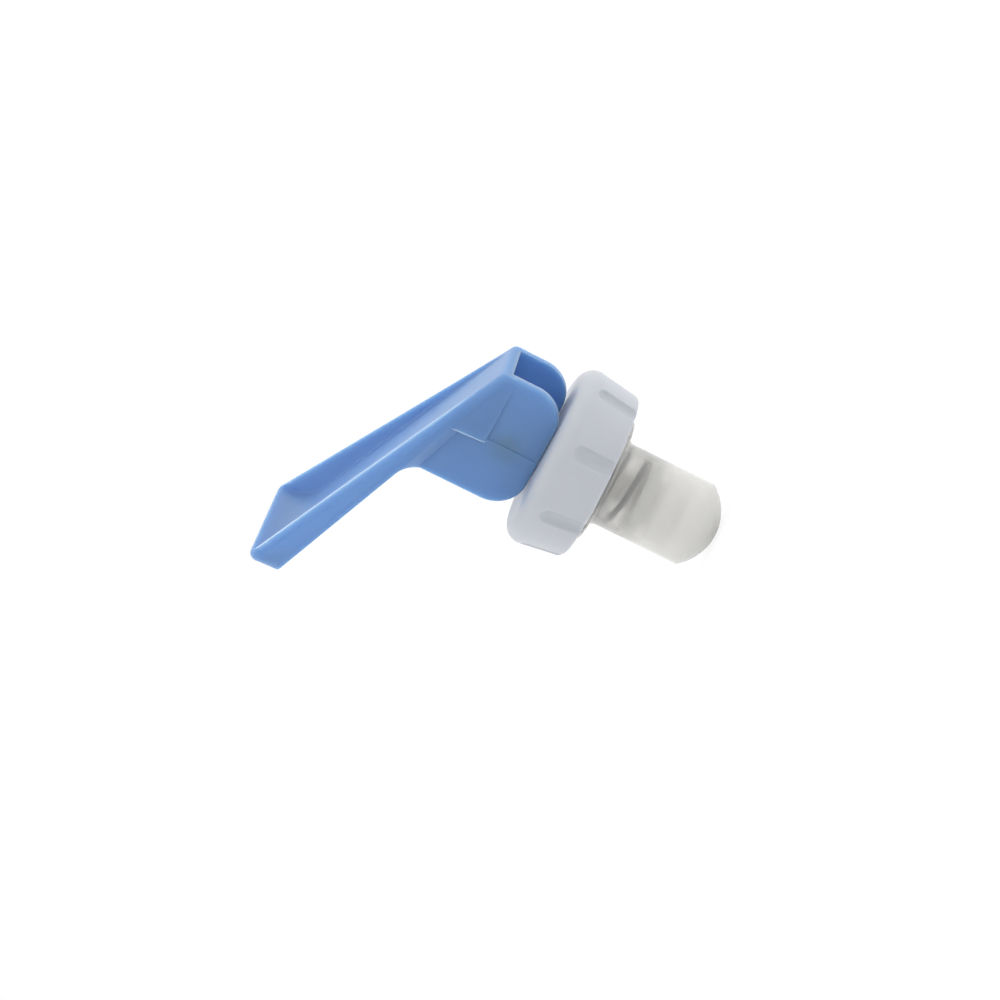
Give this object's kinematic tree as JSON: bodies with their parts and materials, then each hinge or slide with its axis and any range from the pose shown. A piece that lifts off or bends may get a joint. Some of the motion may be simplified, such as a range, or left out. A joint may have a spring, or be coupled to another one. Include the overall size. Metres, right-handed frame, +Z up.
{
  "type": "lever valve top of a water cooler tap",
  "caption": "Self-closing lever valve top for a water cooler tap: scooped lever on a clevis, fluted screw cap, sprung stem and domed silicone seat cup.",
  "frame": {"origin": "centre of the cap's open rim, on the valve axis", "axes": "+Z up the valve axis from the cap's mouth to the handle; the lever reaches out towards -X"},
  "size_m": [0.0613, 0.036, 0.0778],
  "materials": {
    "cap_plastic": "semi-gloss moulded white plastic",
    "handle_plastic": "semi-gloss moulded sky blue plastic",
    "stem_plastic": "satin moulded white plastic",
    "spring_steel": "drawn bright wire",
    "cup_silicone": "translucent soft-satin silicone"
  },
  "bodies": {
    "cap": {"cap": "cap_plastic"},
    "coil": {"spring": "spring_steel"},
    "plunger": {"stem": "stem_plastic", "seat_cup": "cup_silicone"},
    "handle": {"handle": "handle_plastic"}
  },
  "joints": [
    {"name": "swivel", "type": "hinge", "parent": "cap", "child": "coil", "pos_m": [0, 0, 0], "axis": [0, 0, 1], "continuous": true},
    {"name": "stem_lift", "type": "slide", "parent": "coil", "child": "plunger", "axis": [0, 0, 1], "range_m": [0, 0.00267], "stiffness_N_per_m": 400, "springref_m": -0.004, "deforming": ["spring"]},
    {"name": "handle_tilt", "type": "hinge", "parent": "plunger", "child": "handle", "pos_m": [0, 0, 0.01895], "axis": [0, -1, 0], "range_deg": [0, 30]}
  ],
  "couplings": [
    {"joint": "handle_tilt", "follows": "stem_lift", "rad_per_m": 196.08}
  ]
}
